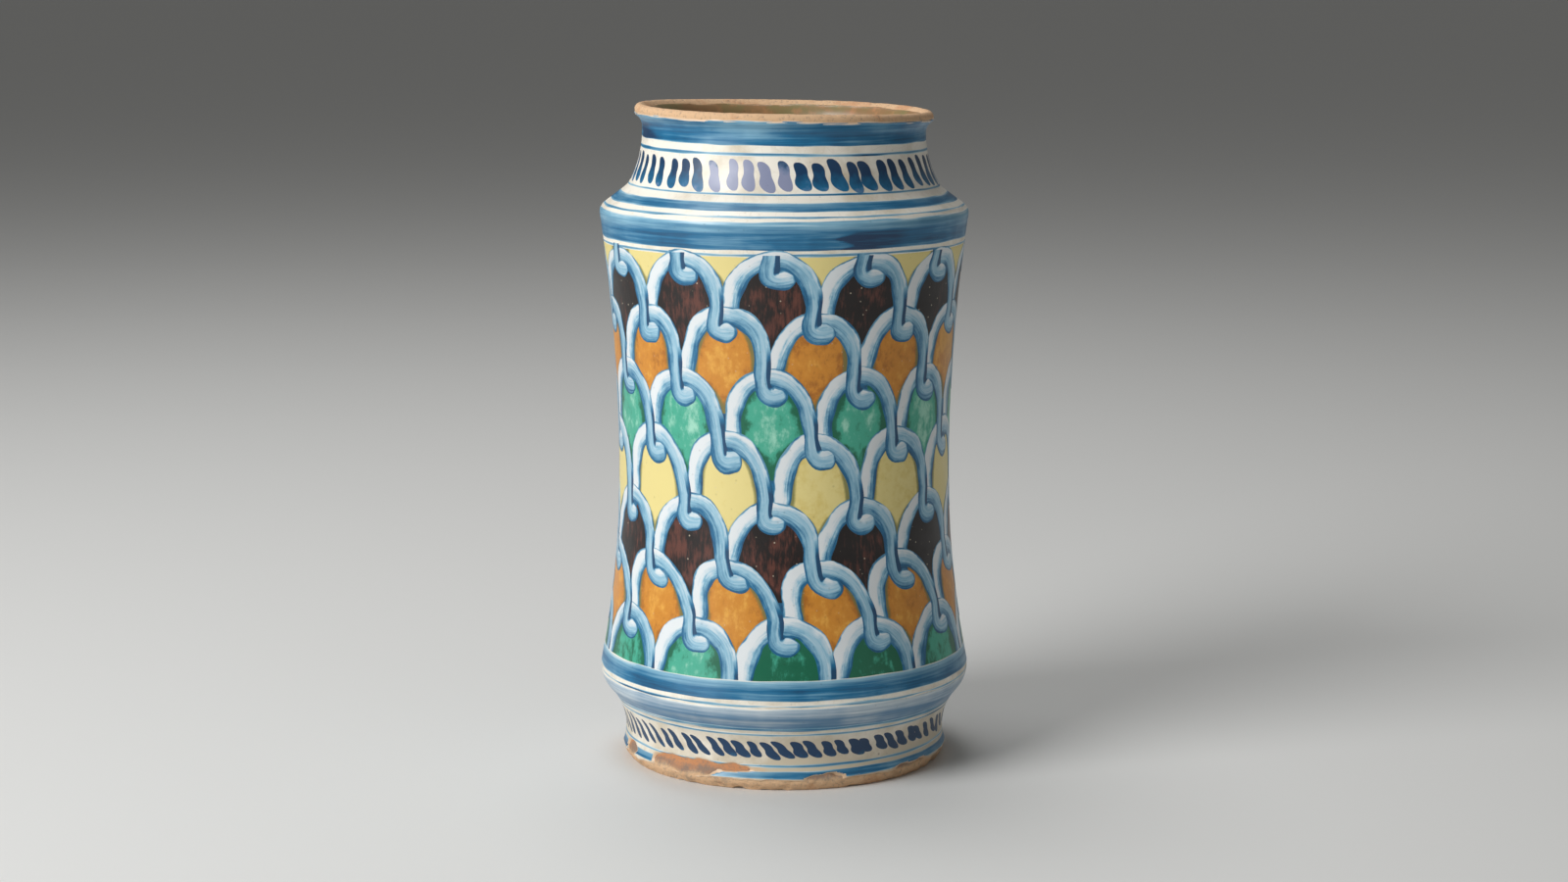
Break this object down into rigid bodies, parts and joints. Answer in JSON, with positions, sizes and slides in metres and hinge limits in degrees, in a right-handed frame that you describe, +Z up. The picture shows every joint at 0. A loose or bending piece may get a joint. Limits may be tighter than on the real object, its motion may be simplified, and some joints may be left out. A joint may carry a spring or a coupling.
{
  "type": "albarello jar",
  "caption": "Waisted apothecary jar with a rolled lip, hollowed neck and spreading foot, painted all round with interlaced coloured scales between blue bands.",
  "frame": {"origin": "centre of the resting face under the foot", "axes": "+Z up along the jar's axis; -Y faces the side shown in the picture"},
  "size_m": [0.1708, 0.1708, 0.3001],
  "materials": {
    "clay": "matte bare earthenware, buff orange",
    "lining_glaze": "thin clear lining glaze over buff clay",
    "white_glaze": "glossy warm white tin glaze",
    "blue_paint": "glossy cobalt blue",
    "dark_blue_paint": "glossy dark cobalt blue",
    "pale_blue_paint": "glossy pale blue wash",
    "brown_paint": "glossy brown-black manganese",
    "orange_paint": "glossy orange ochre",
    "green_paint": "glossy copper green",
    "yellow_paint": "glossy straw yellow"
  },
  "bodies": {
    "root": {"clay_body": "clay", "inner_glaze": "lining_glaze", "outer_glaze": "white_glaze", "neck_bands": "blue_paint", "neck_strokes": "dark_blue_paint", "shoulder_bands": "blue_paint", "scale_ribbons": "pale_blue_paint", "brown_fields": "brown_paint", "orange_fields": "orange_paint", "green_fields": "green_paint", "yellow_fields": "yellow_paint", "lower_bands": "blue_paint", "foot_strokes": "dark_blue_paint", "foot_band": "blue_paint"}
  },
  "joints": []
}
